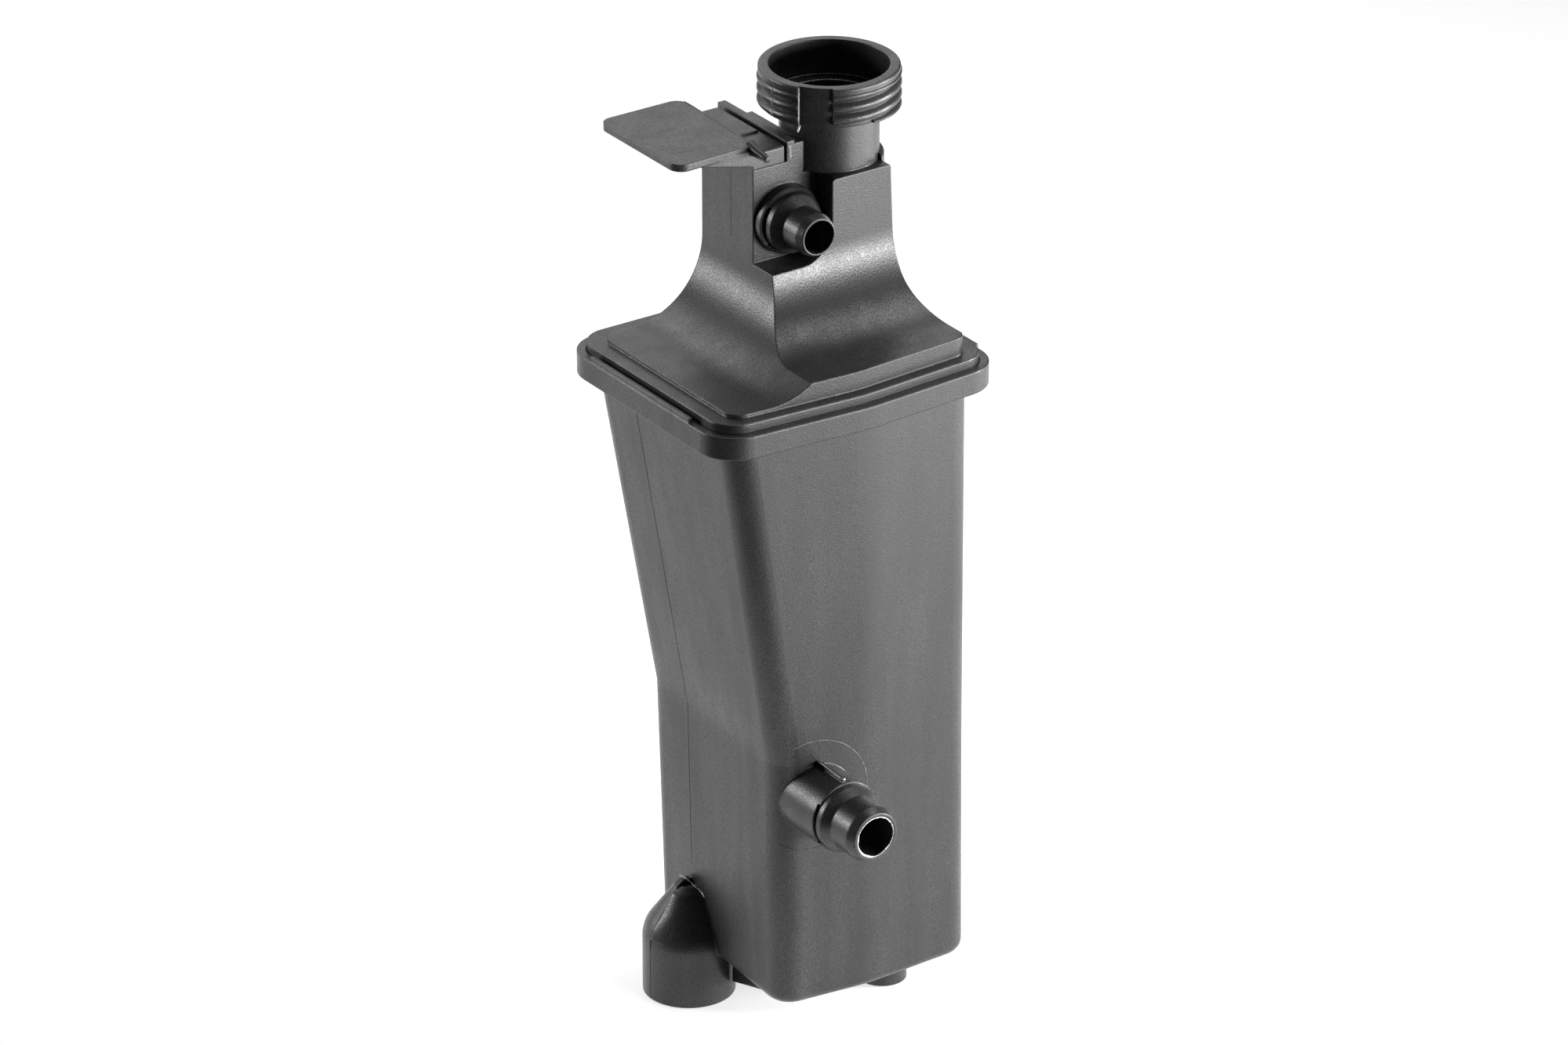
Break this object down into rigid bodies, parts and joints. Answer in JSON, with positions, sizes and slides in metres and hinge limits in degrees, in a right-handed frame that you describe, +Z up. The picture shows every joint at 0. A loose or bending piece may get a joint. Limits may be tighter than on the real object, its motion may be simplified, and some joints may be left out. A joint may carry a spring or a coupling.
{
  "type": "coolant expansion tank",
  "caption": "Tall black moulded coolant expansion tank with a threaded filler neck on a flared tower, two hose ports, a side tab and a socket foot.",
  "frame": {"origin": "centre of the foot's socket mouth, on the plane that the foot and the sensor collar stand on", "axes": "+Z up along the foot's axis to the filler neck, -Y the side that both hose ports point to, -X the side that the tab stands out to"},
  "size_m": [0.1216, 0.1436, 0.3554],
  "materials": {
    "shell_nylon": "satin",
    "tab_nylon": "satin",
    "float_foam": "matte",
    "magnet_ferrite": "satin"
  },
  "bodies": {
    "tank": {"lower_shell": "shell_nylon", "upper_shell": "shell_nylon", "side_tab": "tab_nylon", "float_stop": "tab_nylon"},
    "float": {"level_float": "float_foam", "float_magnet": "magnet_ferrite"}
  },
  "joints": [
    {"name": "float_lift", "type": "slide", "parent": "tank", "child": "float", "axis": [0, 0, 1], "range_m": [0, 0.032]}
  ]
}
